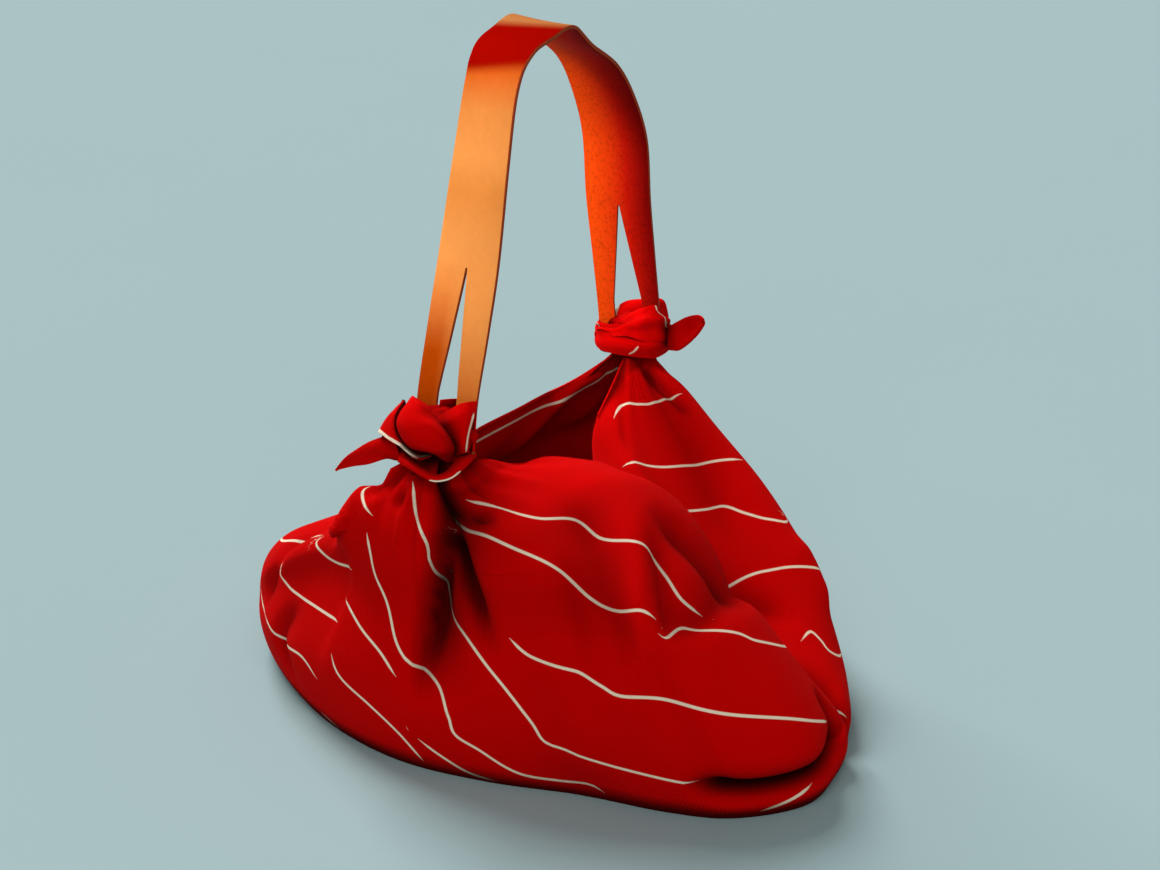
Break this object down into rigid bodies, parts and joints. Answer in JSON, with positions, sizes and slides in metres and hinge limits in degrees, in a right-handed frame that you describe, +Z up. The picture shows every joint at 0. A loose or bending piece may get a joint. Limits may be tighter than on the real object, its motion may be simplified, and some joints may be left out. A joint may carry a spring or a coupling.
{
  "type": "furoshiki bag",
  "caption": "Square wrapping cloth knotted at both ends onto a slotted leather carrying strap, standing as an open, hollow bag.",
  "frame": {"origin": "on the floor under the middle of the handle", "axes": "+X from the near knot to the far knot, -Y towards the full front of the bag, +Z up"},
  "size_m": [0.2922, 0.404, 0.3991],
  "materials": {
    "striped_cloth": "plain weave, matte, with thin cream stripes",
    "tan_leather": "smooth, satin, tan shading to red"
  },
  "bodies": {
    "root": {"cloth_body": "striped_cloth", "near_knot": "striped_cloth", "near_tail": "striped_cloth", "far_knot": "striped_cloth", "far_tail": "striped_cloth", "leather_handle": "tan_leather"}
  },
  "joints": []
}
